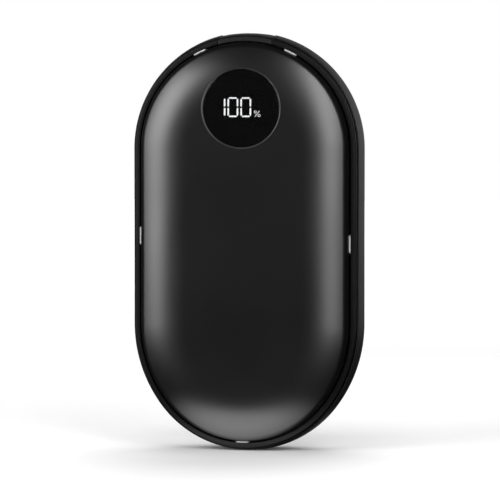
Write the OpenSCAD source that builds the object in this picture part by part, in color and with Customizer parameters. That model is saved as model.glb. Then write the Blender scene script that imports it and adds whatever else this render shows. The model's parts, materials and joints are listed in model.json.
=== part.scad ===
// Rechargeable hand warmer: two domed metal panels on a plastic rim, with a round display.
// The pieces are drawn lying face up (x across, y along the body, z to the front) and then stood up.

/* [Body] */
// Height of the body, standing on its foot
body_h = 100; // [96:1:116]
// Width across the side band
body_w = 55.6; // [53:0.2:61]
// Depth between the front and the rear flange faces
rim_d = 11.2; // [10.8:0.2:13.2]
// How much longer the bottom end is than a half circle
end_stretch = 2.6; // [1.8:0.2:4]
// How much smaller the bottom tip's radius is than half the width
end_draw = 1.3; // [0.9:0.1:2.2]
// Depth of the flat foot cut into the bottom of the band
foot_cut = 0.25; // [0.1:0.05:0.35]

/* [Panels] */
// Rise of each panel's flat centre above the flange face
dome_h = 4.5; // [3.9:0.1:5.7]
// Width of the rounded shoulder round the flat centre
shoulder_w = 12; // [11:0.5:13]
// Radius of the panel's turned-down edge
panel_edge_r = 2.2; // [1.8:0.1:2.8]
// Thickness of the panels
panel_t = 1; // [0.8:0.1:1.2]
// Gap between a panel and the flange round it
seam_w = 0.4; // [0.3:0.05:0.6]
// Thickness of the adhesive ring under a panel's skirt
seal_t = 0.2; // [0.1:0.05:0.4]

/* [Rim] */
// Width of the flange face with its chamfer
flange_w = 1.25; // [1:0.05:1.35]
// Chamfer on the outer edge of the flange
flange_chamfer = 0.25; // [0.1:0.05:0.4]
// Depth of each bezel ring
bezel_d = 3.1; // [2.7:0.1:3.5]
// Step from the flange's outer edge out to the band's surface
band_step = 0.9; // [0.8:0.05:1.1]
// Width of the groove between bezel and band
groove_w = 0.2; // [0.1:0.02:0.26]
// Wall of the band
band_t = 1.55; // [1.4:0.05:1.7]
// How far the band's edges lie behind the flange face
lip_drop = 1.3; // [1:0.05:1.6]
// Radius of the crown across the band
crown_r = 18; // [16:1:40]
// Radius of the band's rounded edges
band_edge_r = 0.5; // [0.45:0.05:0.6]

/* [Top cap] */
// Gap in the band and bezels that the cap fills
cap_gap_w = 13.2; // [12.4:0.2:15]
// Clearance at each end of the cap
cap_fit = 0.12; // [0.06:0.02:0.2]
// How far the cap's top lies below the band's surface
cap_sink = 0.2; // [0.1:0.05:0.3]
// How far the cap's faces lie behind the flange faces
cap_back = 0.15; // [0.05:0.05:0.3]
// Chamfer on the bezels' ends beside the cap
end_chamfer = 0.35; // [0.2:0.05:0.5]

/* [Clips] */
// Length of the clips near the top and at the bottom
clip_l = 3.1; // [2:0.1:5]
// Length of the clips at the sides
side_clip_l = 4.2; // [2.5:0.1:6]
// Distance of the top clips from the middle
clip_x = 11; // [9.5:0.5:14]
// Distance of the bottom clip from the middle
low_clip_x = -0.6; // [-3:0.1:3]
// How far the left clip sits above the middle of the straight side
left_clip_up = 0.1; // [-6:0.1:6]
// How far the right clip sits above the middle of the straight side
right_clip_up = -1.5; // [-6:0.1:6]
// How far a clip stands above the flange face
clip_proud = 0.08; // [0.02:0.02:0.2]
// Clearance on each side of a clip
clip_fit = 0.03; // [0.02:0.01:0.06]
// Depth of the clips' slots in the frame
clip_slot_d = 1; // [0.6:0.1:1.4]

/* [Display] */
// Distance of the display's centre below the top
display_drop = 18.1; // [17.2:0.1:20.6]
// Diameter of the lens
lens_d = 18.6; // [17:0.2:19.8]
// Thickness of the lens
lens_t = 1; // [0.8:0.1:1.2]
// How far the lens lies below the panel's surface
lens_sink = 0.1; // [0.05:0.05:0.2]
// Clearance round the lens and round its trim ring
lens_fit = 0.05; // [0.03:0.01:0.1]
// Width of the trim ring's visible edge
trim_w = 0.25; // [0.15:0.05:0.5]
// How far the trim ring stands above the panel
trim_proud = 0.05; // [0.02:0.01:0.1]
// Width of the trim ring's flange under the panel
trim_flange_w = 0.95; // [0.6:0.05:1.2]
// Thickness of the trim ring's flange
trim_flange_t = 0.35; // [0.25:0.05:0.5]
// Height of the digits
digit_h = 4.7; // [3.6:0.1:5.4]
// Width of a digit
digit_w = 2.72; // [2:0.02:2.9]
// Distance from one digit to the next
digit_pitch = 3.05; // [3:0.05:3.4]
// Centre of the middle digit, from the display's centre
digit_x = -1.9; // [-2.2:0.1:-1.6]
// Width of a digit's strokes
stroke = 0.58; // [0.4:0.02:0.7]
// Gap between the strokes of a digit
stroke_gap = 0.1; // [0.06:0.02:0.2]
// Height of the percent sign
percent_h = 1.56; // [1.2:0.04:1.8]
// Centre of the percent sign, from the display's centre
percent_x = 3.95; // [3.8:0.05:4.4]
// Thickness of the lit segments
segment_t = 0.15; // [0.1:0.05:0.25]
// Air between the lit segments and the lens
lens_air = 0.1; // [0.05:0.05:0.3]
// Width of the display module
module_w = 14; // [13.6:0.1:14.2]
// Height of the display module
module_h = 9; // [7:0.5:9.5]
// Thickness of the display module
module_t = 3.2; // [2.6:0.1:3.6]
// Diameter of the display board
display_board_d = 20.8; // [20.4:0.2:22]
// Thickness of the display board
display_board_t = 0.8; // [0.6:0.1:1]

/* [Button] */
// Distance of the button's centre below the start of the round top
button_drop = 6.7; // [6.4:0.1:8]
// Length of the button
button_l = 9.6; // [8:0.2:10.4]
// Width of the button
button_w = 3.6; // [3.2:0.1:4]
// How far the button's face lies below the band
button_sink = 0.15; // [0.1:0.05:0.3]
// Clearance round the button
button_fit = 0.1; // [0.06:0.02:0.2]
// Travel of the button
button_travel = 0.35; // [0.2:0.05:0.4]
// Length of the flange that keeps the button in
button_flange_l = 12.4; // [11.8:0.2:13.2]
// Thickness of that flange
button_flange_t = 0.6; // [0.4:0.05:0.7]
// Height of the button's flange, front to rear
button_flange_h = 3; // [2.4:0.1:3]
// Length of the side switch's body, in from the band
switch_d = 3.4; // [3:0.1:3.6]
// Length of the side switch's body, along the band
switch_l = 4.6; // [4:0.1:5]
// Height of the side switch's body
switch_h = 1.7; // [1.5:0.1:1.9]
// How far the switch's plunger stands out
plunger_out = 0.7; // [0.6:0.05:0.8]
// How far the switch's plunger reaches in
plunger_in = 0.5; // [0.3:0.05:0.7]

/* [Socket] */
// Width of the charging socket's shell
usb_w = 8.94; // [8.9:0.01:9]
// Height of the charging socket's shell
usb_h = 3.26; // [3.16:0.01:3.3]
// Length of the charging socket's shell
usb_l = 7.35; // [6.9:0.05:7.6]
// Wall of the charging socket's shell
usb_wall = 0.3; // [0.25:0.05:0.35]
// Depth of the socket's mouth below the top of the body
usb_sink = 1; // [0.8:0.1:1.3]
// Clearance round the shell in the cap
usb_fit = 0.2; // [0.1:0.05:0.3]
// Width of the socket's tongue
tongue_w = 6.7; // [6.6:0.05:6.8]
// Thickness of the socket's tongue
tongue_t = 0.7; // [0.6:0.05:0.8]
// Length of the socket's tongue
tongue_l = 4.5; // [4:0.1:5]

/* [Inside] */
// Wall of the frame's ring
frame_t = 2; // [1.8:0.1:2.2]
// Clearance between frame and band
frame_fit = 0.05; // [0.02:0.01:0.08]
// Thickness of the cell tray
tray_t = 1; // [0.8:0.1:1.2]
// Room between the cells and the frame's wall, for the side switch
side_room = 6.2; // [6:0.1:8]
// How far the nickel links' middles lie inside the cells' sides
tab_in = 8; // [7:0.5:9]
// How far the charging coil's middle lies inside the frame's wall
coil_in = 11.6; // [11:0.1:12]
// Thickness of a battery cell
cell_t = 6.8; // [6:0.1:7]
// How far the cells' lower corners lie inside the outline
cell_corner = 6.4; // [6.2:0.1:9]
// Length of the flat terrace at a cell's top
terrace_l = 3; // [2.6:0.1:3.2]
// Thickness of the terrace
terrace_t = 1; // [0.8:0.1:1.2]
// Clearance round the cells
cell_gap = 0.2; // [0.1:0.05:0.3]
// Thickness of the tray's locating ribs
rib_t = 1; // [0.8:0.1:1.2]
// Height of the ribs above the tray
rib_h = 2.5; // [1.5:0.1:3]
// How far a heating film's sides lie inside the panel's flat centre
heater_in = 0.5; // [0.3:0.1:3]
// Thickness of a heating film
heater_t = 0.2; // [0.15:0.05:0.3]
// How far the heating films reach below the straight sides
heater_low = 2.2; // [-4:0.2:3]
// Thickness of the main board
board_t = 1; // [0.8:0.1:1.2]
// Clearance between the main board and the frame
board_gap = 0.8; // [0.6:0.1:1]
// How far the main board reaches below the start of the round top
board_low = 2.1; // [1.6:0.1:3]
// Radius of the screw bosses
boss_r = 2; // [1.8:0.1:2.2]
// Distance of the screw bosses from the frame's inner wall
boss_in = 3.2; // [2.9:0.1:3.4]
// Radius of the screws' shanks
screw_r = 0.75; // [0.65:0.05:0.85]
// Radius of the screws' heads
screw_head_r = 1.5; // [1.3:0.1:1.6]
// Height of the screws' heads
screw_head_h = 0.9; // [0.7:0.1:1.1]
// Radius of the battery leads
lead_r = 0.6; // [0.5:0.05:0.65]
// Radius of the heater leads
thin_lead_r = 0.4; // [0.3:0.05:0.45]

/* [Hidden] */
$fn = 96;
eps = 0.01;
far = 200;

// The outline: a half circle on top, straight sides, and a bottom end of two radii that meet smoothly.
half_w = body_w / 2;
top_y = body_h - half_w;
end_l = half_w + end_stretch;
low_y = end_l - foot_cut;
tip_r = half_w - end_draw;
tip_y = tip_r - foot_cut;
side_r = end_l + end_stretch * end_stretch / (2 * end_draw);
side_x = side_r - half_w;
join_a = atan2(low_y - tip_y, side_x);
side_mid_y = (top_y + low_y) / 2;

// Distances out from the outline, negative where they lie inside it.
flange_out = -band_step;
lip_in = flange_out + groove_w;
seam_out = flange_out - flange_w;
panel_out = seam_out - seam_w;
panel_in = panel_out - panel_t;
band_in = -band_t;
frame_out = band_in - frame_fit;
frame_in = frame_out - frame_t;

// Heights above the body's middle plane.
flange_z = rim_d / 2;
frame_z = flange_z - bezel_d;
skirt_z = frame_z + seal_t;
dome_z = flange_z + dome_h;
panel_in_z = dome_z - panel_t;
tray_z = tray_t / 2;

// The dome's section: a wide shoulder arc that meets a tight edge arc.
shoulder_r = (shoulder_w * shoulder_w - 2 * shoulder_w * panel_edge_r + dome_h * dome_h)
    / (2 * (dome_h - panel_edge_r));
flat_q = panel_out - shoulder_w;
edge_q = panel_out - panel_edge_r;
edge_a = atan2(shoulder_r - dome_h, shoulder_w - panel_edge_r);

// The band's section: a wide crown that meets its rounded edges.
lip_z = flange_z - lip_drop - band_edge_r;
crown_a = asin(lip_z / (crown_r - band_edge_r));
crown_z = on_grid(crown_r * sin(crown_a));
lip_q = on_grid((crown_r - band_edge_r) * cos(crown_a) - crown_r);

// The display.
display_y = body_h - display_drop;
lens_r = lens_d / 2;
trim_r = lens_r + lens_fit + trim_w;
window_r = trim_r + lens_fit;
lens_back = lens_sink + lens_t;
segment_z = dome_z - lens_back - lens_air - segment_t;
module_z = segment_z - module_t;
display_board_z = module_z - display_board_t;

// The main board lies against the socket's rear side.
board_z = -usb_h / 2;
board_back_z = board_z - board_t;
board_r = half_w + frame_in - board_gap;
usb_y = body_h - usb_sink - usb_l;

// The cells, one on each side of the tray, fill the room between the main board and the lower end.
board_gap_y = 0.6;
board_y = top_y - board_low;
tray_top = board_y - board_gap_y;
stop_y = tray_top - rib_t;
cell_top = stop_y - cell_gap;
wall_x = half_w + frame_in;
cell_x = wall_x - side_room;
cell_w = 2 * cell_x;
cell_reach = side_r - cell_corner;
cell_y = low_y - sqrt(cell_reach * cell_reach - (cell_x + side_x) * (cell_x + side_x));
cell_l = cell_top - cell_y;
cell_z = tray_z + cell_t;
terrace_z = tray_z + terrace_t;
tab_t = 0.15;
tab_w = 4;
tab_x = cell_x - tab_in;

// The heating films lie in the panels' flat centres, up to the main board's edge.
heater_w = 2 * (half_w + flat_q - heater_in);
heater_y = low_y - heater_low;
heater_top = board_y + 0.8;

// The button pushes inwards from the left side.
button_y = top_y - button_drop;
button_flange_x = wall_x - 0.1;
plunger_x = button_flange_x - button_flange_t - 0.5;
switch_x = plunger_x - plunger_out;
plunger_z = board_z + switch_h / 2;
plunger_l = 1.6;
plunger_h = 0.9;
plunger_fit = 0.06;
ear_x = [switch_x - switch_d - 0.3, switch_x + 0.5];
ear_y = button_y - switch_l / 2 - 2.2;
switch_cut_y = button_y - button_flange_l / 2 - 0.5;

// Screw bosses, as angles round the top end's centre.
boss_angles = [20, 62, 118, 160];
boss_at = half_w + frame_in - boss_in;

// Stands the lying parts up, with their front to -Y.
module stand() {
    rotate([90, 0, 0]) children();
}

// The same shape on the front and on the rear.
module both_faces() {
    children();
    mirror([0, 0, 1]) children();
}

// Turns a section round one end of the outline; $reach is how far the outline lies from the centre.
module turn(centre, radius, from, angle) {
    $reach = radius;
    translate([centre.x, centre.y, 0])
        rotate_extrude(angle = angle, start = from)
            children();
}

// Moves a section's origin out to the outline.
module at_edge() {
    translate([$reach, 0]) children();
}

// Everything on the upper side of the line where the right side arc meets the bottom tip.
module above_join() {
    translate([0, tip_y, 0])
        rotate([0, 0, -join_a])
            translate([-far, 0, -far])
                cube(2 * far);
}

// A stretch of a straight side, down from a given height.
module side_run(top, length) {
    $reach = half_w;
    translate([0, top, 0])
        rotate([90, 0, 0])
            linear_extrude(length)
                children();
}

module straight_side() {
    side_run(top_y, top_y - low_y) children();
}

module side_arc() {
    intersection() {
        turn([-side_x, low_y], side_r, -90, 90) children();
        above_join();
    }
}

// Carries a section round the whole outline.
module around() {
    turn([0, top_y], half_w, 0, 180) children();
    straight_side() children();
    mirror([1, 0, 0]) straight_side() children();
    side_arc() children();
    mirror([1, 0, 0]) side_arc() children();
    difference() {
        turn([0, tip_y], tip_r, -180, 180) children();
        above_join();
        mirror([1, 0, 0]) above_join();
    }
}

// A section that fills the outline, up to a distance out from it.
module filled(out, low, high) {
    translate([0, low]) square([$reach + out, high - low]);
}

// Neighbouring shapes meet at numbers of four decimals, so that their shared sides are equal.
function on_grid(v) = round(v * 10000) / 10000;

// The section of a solid dome whose surface lies a given depth under the panel's.
module dome_section(depth, low) {
    top = dome_z - depth;
    rise = flange_z - low;
    high = low + rise;
    flat_r = $reach + flat_q;
    join_r = on_grid($reach + edge_q + (panel_edge_r - depth) * cos(edge_a));
    translate([0, low]) square([flat_r, top - low]);
    translate([flat_r, low]) square([panel_out - depth - flat_q, rise]);
    intersection() {
        translate([flat_r, dome_z - shoulder_r]) circle(shoulder_r - depth);
        translate([flat_r, high]) square([join_r - flat_r, dome_h + 1]);
    }
    intersection() {
        translate([$reach + edge_q, flange_z]) circle(panel_edge_r - depth);
        translate([join_r, high]) square([panel_edge_r + 1, dome_h + 1]);
    }
}

module dome(depth, low) {
    around() dome_section(depth, low);
}

// The same dome over the top end alone, as a whole turn, for the pieces of the display.
module top_dome(depth, low) {
    turn([0, top_y], half_w, 0, 360) dome_section(depth, low);
}

// A round post on the display's axis.
module display_post(r, low, high) {
    translate([0, display_y, low]) cylinder(r = r, h = high - low);
}

module panel_shell() {
    difference() {
        dome(0, skirt_z);
        dome(panel_t, skirt_z - 1);
    }
}

module front_panel() {
    color("#161616") difference() {
        panel_shell();
        display_post(window_r, skirt_z, dome_z + 1);
    }
}

module rear_panel() {
    color("#161616") mirror([0, 0, 1]) panel_shell();
}

// The block that opens the band and the bezels for the cap.
module cap_gap() {
    translate([-cap_gap_w / 2, top_y, -far]) cube([cap_gap_w, far, 2 * far]);
}

// Takes the outer corner off a bezel's right end.
module end_corner() {
    end_x = cap_gap_w / 2;
    end_r = half_w + flange_out;
    corner_y = top_y + sqrt(end_r * end_r - end_x * end_x);
    translate([end_x, corner_y, 0])
        rotate([0, 0, 45 - asin(end_x / end_r) / 2])
            translate([-2, -end_chamfer * 0.707, -far])
                cube([4, 4, 2 * far]);
}

module bezel() {
    chamfer_q = flange_out - flange_chamfer;
    chamfer_z = flange_z - flange_chamfer;
    color("#1c1c1d") difference() {
        around() at_edge() polygon([
            [seam_out, frame_z],
            [flange_out, frame_z],
            [flange_out, chamfer_z],
            [chamfer_q, flange_z],
            [seam_out, flange_z]
        ]);
        cap_gap();
        end_corner();
        mirror([1, 0, 0]) end_corner();
    }
}

module front_bezel() {
    bezel();
}

module rear_bezel() {
    mirror([0, 0, 1]) bezel();
}

// One rounded edge of the crowned side wall, on the front.
module lip_edge() {
    intersection() {
        translate([lip_q, lip_z]) circle(band_edge_r);
        translate([lip_in, crown_z]) square([1, 1]);
    }
}

// The crowned side wall with its rounded edges.
module crowned_wall() {
    intersection() {
        translate([-crown_r, 0]) circle(crown_r, $fn = 360);
        translate([band_in, -crown_z]) square([band_t, 2 * crown_z]);
    }
    lip_edge();
    mirror([0, 1]) lip_edge();
}

module band_section() {
    difference() {
        crowned_wall();
        translate([band_in - 1, frame_z]) square([lip_in - band_in + 1, rim_d]);
        mirror([0, 1]) translate([band_in - 1, frame_z]) square([lip_in - band_in + 1, rim_d]);
    }
}

// A slot with round ends, drawn flat.
module pill(l, w) {
    square([l - w, w], center = true);
    translate([(l - w) / 2, 0]) circle(d = w);
    translate([-(l - w) / 2, 0]) circle(d = w);
}

// A pill-shaped bar along x on the button's axis, from one distance left of the middle to another.
module button_bar(l, w, near, out) {
    translate([-out, button_y, 0])
        rotate([90, 0, 90])
            linear_extrude(out - near)
                pill(l, w);
}

// A pill-shaped bar up the socket's axis.
module socket_bar(l, w, low, high) {
    translate([0, low, 0])
        rotate([-90, 0, 0])
            linear_extrude(high - low)
                pill(l, w);
}

module outer_band() {
    color("#232324") difference() {
        around() at_edge() band_section();
        cap_gap();
        translate([-far, -far, -far]) cube([2 * far, far, 2 * far]);
        button_bar(button_l + 2 * button_fit, button_w + 2 * button_fit, half_w - 4, half_w + 1);
    }
}

// Cuts the groove of the cap and trims its lip, on the front.
module cap_groove() {
    groove_q = flange_out - cap_sink;
    lip_top = lip_z + band_edge_r * 0.8;
    translate([groove_q, lip_z]) square([groove_w, rim_d]);
    translate([groove_q, lip_top]) square([2, rim_d]);
}

module cap_section() {
    face_z = flange_z - cap_back;
    difference() {
        intersection() {
            translate([-crown_r - cap_sink, 0]) circle(crown_r, $fn = 360);
            translate([seam_out, -face_z]) square([-seam_out, 2 * face_z]);
        }
        translate([seam_out - 1, -frame_z]) square([band_in - seam_out + 1, 2 * frame_z]);
        cap_groove();
        mirror([0, 1]) cap_groove();
    }
}

module top_cap() {
    cap_w = cap_gap_w - 2 * cap_fit;
    color("#2c2c2d") difference() {
        intersection() {
            turn([0, top_y], half_w, 45, 90) at_edge() cap_section();
            translate([-cap_w / 2, top_y, -far]) cube([cap_w, far, 2 * far]);
        }
        socket_bar(usb_w + 2 * usb_fit, usb_h + 2 * usb_fit, top_y, body_h + 1);
    }
}

// A block in the seam for a clip or its slot: grow widens it, and the root lies under the bezel's edge.
module clip_section(grow, low, high) {
    inner = panel_out + clip_fit - grow;
    translate([inner, low]) square([seam_w - 2 * clip_fit + 2 * grow, high - low]);
    translate([inner, low]) square([frame_out - inner + grow, frame_z - low]);
}

// Places a section at the five clips' stations, each a little longer for its slot.
module clip_stations(longer) {
    seam_r = half_w + panel_out;
    tip_seam_r = tip_r + panel_out;
    clip_a = (clip_l + longer) / seam_r * 180 / PI;
    low_clip_a = (clip_l + longer) / tip_seam_r * 180 / PI;
    station_a = acos(clip_x / seam_r);
    low_a = -90 + asin(low_clip_x / tip_seam_r);
    side_l = side_clip_l + longer;
    turn([0, top_y], half_w, station_a - clip_a / 2, clip_a) at_edge() children();
    turn([0, top_y], half_w, 180 - station_a - clip_a / 2, clip_a) at_edge() children();
    turn([0, tip_y], tip_r, low_a - low_clip_a / 2, low_clip_a) at_edge() children();
    side_run(side_mid_y + right_clip_up + side_l / 2, side_l) at_edge() children();
    mirror([1, 0, 0]) side_run(side_mid_y + left_clip_up + side_l / 2, side_l) at_edge() children();
}

module clips() {
    color("#c9c9c6") clip_stations(0) clip_section(0, frame_z - clip_slot_d, flange_z + clip_proud);
}

module front_clips() {
    clips();
}

module rear_clips() {
    mirror([0, 0, 1]) clips();
}

module seal() {
    inset = 0.1;
    color("#3a3a38")
        around() at_edge()
            translate([panel_in + inset, frame_z])
                square([panel_t - 2 * inset, seal_t]);
}

module front_seal() {
    seal();
}

module rear_seal() {
    mirror([0, 0, 1]) seal();
}

// Moves its children to each screw boss.
module at_bosses() {
    for (a = boss_angles)
        translate([boss_at * cos(a), top_y + boss_at * sin(a), 0])
            rotate([0, 0, a])
                children();
}

module frame_bosses() {
    at_bosses() {
        translate([0, 0, board_z]) cylinder(r = boss_r, h = frame_z - board_z);
        translate([0, -boss_r * 0.7, board_z]) cube([boss_in + frame_t / 2, boss_r * 1.4, frame_z - board_z]);
    }
}

// The ribs and stops that keep the cells in place, on both sides of the tray.
module cell_ribs() {
    stop_w = 4;
    stop_in = 0.5;
    rib_z = tray_z + rib_h;
    rib_x = cell_x + cell_gap;
    side_l = switch_cut_y - 2.5 - cell_y;
    end_w = cell_w - 2 * stop_w;
    for (side = [0, 1])
        mirror([side, 0, 0]) {
            translate([rib_x, cell_y, -rib_z]) cube([rib_t, side_l, 2 * rib_z]);
            translate([cell_x - stop_w - stop_in, stop_y, -rib_z]) cube([stop_w, rib_t, 2 * rib_z]);
        }
    translate([-end_w / 2, cell_y - cell_gap - rib_t, -rib_z]) cube([end_w, rib_t, 2 * rib_z]);
}

module mid_frame() {
    tray_low = 8;
    tray_w = 2 * (half_w + frame_in);
    color("#4b4b4d") difference() {
        union() {
            around() at_edge() translate([frame_in, -frame_z]) square([frame_t, 2 * frame_z]);
            intersection() {
                around() filled(frame_in + frame_t / 2, -tray_z, tray_z);
                translate([-tray_w, tray_low, -tray_t]) cube([2 * tray_w, tray_top - tray_low, 2 * tray_t]);
            }
            cell_ribs();
            frame_bosses();
        }
        both_faces() clip_stations(0.2) clip_section(clip_fit, frame_z - clip_slot_d, frame_z + 1);
        at_bosses() translate([0, 0, board_z - 1]) cylinder(r = screw_r, h = 4);
        socket_bar(usb_w + 2 * usb_fit, usb_h + 2 * usb_fit, top_y + 15, body_h + 1);
        button_bar(button_l + 2 * button_fit, button_w + 2 * button_fit, wall_x - 1, half_w + 1);
        translate([-wall_x, switch_cut_y, -tray_t])
            cube([wall_x - ear_x[0], tray_top - switch_cut_y + 1, 2 * tray_t]);
    }
}

// The skin of the dome between two depths, over the top end.
module dome_skin(upper, lower) {
    difference() {
        top_dome(upper, skirt_z);
        top_dome(lower, skirt_z - 1);
    }
}

// A ring round the lens that stands a little above the panel, with a flat flange under the panel.
module lens_trim() {
    flange_r = window_r + trim_flange_w;
    reach = display_y + flange_r - top_y - half_w - flat_q;
    under_r = shoulder_r - panel_t;
    flange_top = dome_z - shoulder_r + sqrt(under_r * under_r - reach * reach) - lens_fit;
    flange_low = flange_top - trim_flange_t;
    color("#9a9a98") difference() {
        union() {
            intersection() {
                top_dome(-trim_proud, skirt_z);
                display_post(trim_r, flange_low, dome_z + 1);
            }
            display_post(flange_r, flange_low, flange_top);
        }
        display_post(lens_r + lens_fit, flange_z - 1, dome_z + 2);
    }
}

module display_lens() {
    color("#08080a") intersection() {
        dome_skin(lens_sink, lens_back);
        display_post(lens_r, flange_z, dome_z + 1);
    }
}

// A stroke of a digit with pointed ends, lying along x.
module stroke_bar(l) {
    polygon([
        [-l / 2, 0],
        [-l / 2 + stroke / 2, stroke / 2],
        [l / 2 - stroke / 2, stroke / 2],
        [l / 2, 0],
        [l / 2 - stroke / 2, -stroke / 2],
        [-l / 2 + stroke / 2, -stroke / 2]
    ]);
}

// The strokes of a digit, named a to g as on any such display.
module digit(lit) {
    x = digit_w / 2 - stroke / 2;
    y = digit_h / 2 - stroke / 2;
    across = 2 * x - stroke_gap;
    along = y - stroke_gap;
    for (s = lit) {
        if (s == "a") translate([0, y]) stroke_bar(across);
        if (s == "g") stroke_bar(across);
        if (s == "d") translate([0, -y]) stroke_bar(across);
        if (s == "f") translate([-x, y / 2]) rotate(90) stroke_bar(along);
        if (s == "b") translate([x, y / 2]) rotate(90) stroke_bar(along);
        if (s == "e") translate([-x, -y / 2]) rotate(90) stroke_bar(along);
        if (s == "c") translate([x, -y / 2]) rotate(90) stroke_bar(along);
    }
}

module percent_sign() {
    ring_r = percent_h * 0.25;
    hole_r = percent_h * 0.12;
    bar_w = percent_h * 0.12;
    for (side = [-1, 1])
        translate([side * ring_r * 1.25, -side * ring_r])
            difference() {
                circle(ring_r);
                circle(hole_r);
            }
    rotate(-38) square([bar_w, percent_h * 1.08], center = true);
}

module display_segments() {
    percent_y = -digit_h / 2 + percent_h / 2;
    color("white")
        translate([0, display_y, segment_z])
            linear_extrude(segment_t) {
                translate([digit_x - digit_pitch, 0]) digit("bc");
                translate([digit_x, 0]) digit("abcdef");
                translate([digit_x + digit_pitch, 0]) digit("abcdef");
                translate([percent_x, percent_y]) percent_sign();
            }
}

module display_module() {
    color("#0d0d0e")
        translate([-module_w / 2, display_y - module_h / 2, module_z])
            cube([module_w, module_h, module_t]);
}

module display_board() {
    color("#1f5a35") display_post(display_board_d / 2, display_board_z, module_z);
}

module display_header() {
    strip_l = 10.2;
    strip_w = 2.5;
    strip_y = display_y - module_h / 2 - strip_w - 1.5;
    color("#151515")
        translate([-strip_l / 2, strip_y, board_z])
            cube([strip_l, strip_w, display_board_z - board_z]);
}

module display_spacers() {
    spacer_r = 1.2;
    spacer_x = 3.6;
    spacer_up = 7.2;
    color("#d8d3c4")
        for (side = [-1, 1])
            translate([side * spacer_x, display_y + spacer_up, board_z])
                cylinder(r = spacer_r, h = display_board_z - board_z);
}

module main_board() {
    hole_r = screw_r + 0.15;
    color("#1f5a35") difference() {
        translate([0, 0, board_back_z])
            linear_extrude(board_t)
                union() {
                    intersection() {
                        translate([0, top_y]) circle(board_r);
                        translate([-far, board_y]) square([2 * far, far]);
                    }
                    translate([-ear_x[1], ear_y]) square([ear_x[1] - ear_x[0], top_y + 2 - ear_y]);
                }
        at_bosses() translate([0, 0, board_back_z - 1]) cylinder(r = hole_r, h = board_t + 2);
    }
}

module board_screws() {
    shank_fit = 0.02;
    shank_l = board_t + 2.8;
    recess_l = 1.6;
    recess_w = 0.35;
    recess_d = 0.4;
    color("#b9b9b6") at_bosses() difference() {
        union() {
            translate([0, 0, board_back_z - screw_head_h]) cylinder(r = screw_head_r, h = screw_head_h);
            translate([0, 0, board_back_z]) cylinder(r = screw_r - shank_fit, h = shank_l);
        }
        for (a = [0, 90])
            rotate([0, 0, a])
                translate([-recess_l / 2, -recess_w / 2, board_back_z - screw_head_h - 1])
                    cube([recess_l, recess_w, recess_d + 1]);
    }
}

module charge_coil() {
    coil_w = 6.6;
    base_t = 0.8;
    core_h = 2;
    color("#47423c") translate([wall_x - coil_in, board_y + 7, board_z]) {
        translate([-coil_w / 2, -coil_w / 2, 0]) cube([coil_w, coil_w, base_t]);
        translate([0, 0, base_t]) cylinder(r = coil_w / 2 - 0.2, h = core_h);
    }
}

// Each chip: x, distance above the board's lower edge, width, height, thickness.
front_chips = [[-9, 14, 5, 5, 0.9], [-13, 6, 4, 4, 0.8], [0, 17.5, 3, 2, 0.7], [8, 2.6, 2, 1.2, 0.6]];
rear_chips = [[0, 12, 7, 7, 1], [11, 13, 4, 5, 1.4], [-11, 14, 3, 3, 0.9], [-7, 4, 6, 3, 1.6], [5, 4, 3, 2, 1.2]];

module chip(c) {
    translate([c[0] - c[2] / 2, board_y + c[1] - c[3] / 2, 0]) cube([c[2], c[3], c[4]]);
}

module board_chips() {
    color("#191a1c") {
        for (c = front_chips)
            translate([0, 0, board_z]) chip(c);
        for (c = rear_chips)
            translate([0, 0, board_back_z]) mirror([0, 0, 1]) chip(c);
    }
}

module usb_shell() {
    color("#c4c5c7") difference() {
        socket_bar(usb_w, usb_h, usb_y, usb_y + usb_l);
        socket_bar(usb_w - 2 * usb_wall, usb_h - 2 * usb_wall, usb_y + usb_wall, usb_y + usb_l + 1);
    }
}

usb_base_l = 1.6;

module usb_tongue() {
    base_y = usb_y + usb_wall;
    color("#1a1a1a") {
        socket_bar(usb_w - 2 * usb_wall, usb_h - 2 * usb_wall, base_y, base_y + usb_base_l);
        translate([-tongue_w / 2, base_y + usb_base_l, -tongue_t / 2]) cube([tongue_w, tongue_l, tongue_t]);
    }
}

module usb_contacts() {
    contact_count = 12;
    contact_pitch = 0.5;
    contact_w = 0.25;
    contact_t = 0.04;
    contact_l = tongue_l - 0.6;
    color("#d8b25a") both_faces()
        for (i = [0 : contact_count - 1])
            translate([(i - (contact_count - 1) / 2) * contact_pitch - contact_w / 2,
                usb_y + usb_wall + usb_base_l, tongue_t / 2])
                cube([contact_w, contact_l, contact_t]);
}

module power_button() {
    pusher_l = 2.4;
    pusher_h = 1;
    face_x = half_w - button_sink;
    color("#2a2a2b") {
        button_bar(button_l, button_w, button_flange_x, face_x);
        translate([-button_flange_x, button_y - button_flange_l / 2, -button_flange_h / 2])
            cube([button_flange_t, button_flange_l, button_flange_h]);
        translate([-button_flange_x, button_y - pusher_l / 2, plunger_z - pusher_h / 2])
            cube([button_flange_x - plunger_x, pusher_l, pusher_h]);
    }
}

// A block on the switch's axis that grows on all sides of its section.
module plunger_block(near, out, grow) {
    translate([-out, button_y - plunger_l / 2 - grow, plunger_z - plunger_h / 2 - grow])
        cube([out - near, plunger_l + 2 * grow, plunger_h + 2 * grow]);
}

module switch_plunger() {
    color("#e6e2d8") plunger_block(switch_x - plunger_in, plunger_x, 0);
}

module switch_body() {
    pocket_d = plunger_in + button_travel + 0.2;
    color("#1b1b1c") difference() {
        translate([-switch_x, button_y - switch_l / 2, board_z]) cube([switch_d, switch_l, switch_h]);
        plunger_block(switch_x - pocket_d, switch_x + 1, plunger_fit);
    }
}

module cell() {
    body_l = cell_l - terrace_l;
    color("#aeb3b8") {
        translate([-cell_x, cell_y, tray_z]) cube([cell_w, body_l, cell_t]);
        translate([-cell_x + 1, cell_y + body_l, tray_z]) cube([cell_w - 2, terrace_l, terrace_t]);
    }
}

module battery_cells() {
    both_faces() cell();
}

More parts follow.
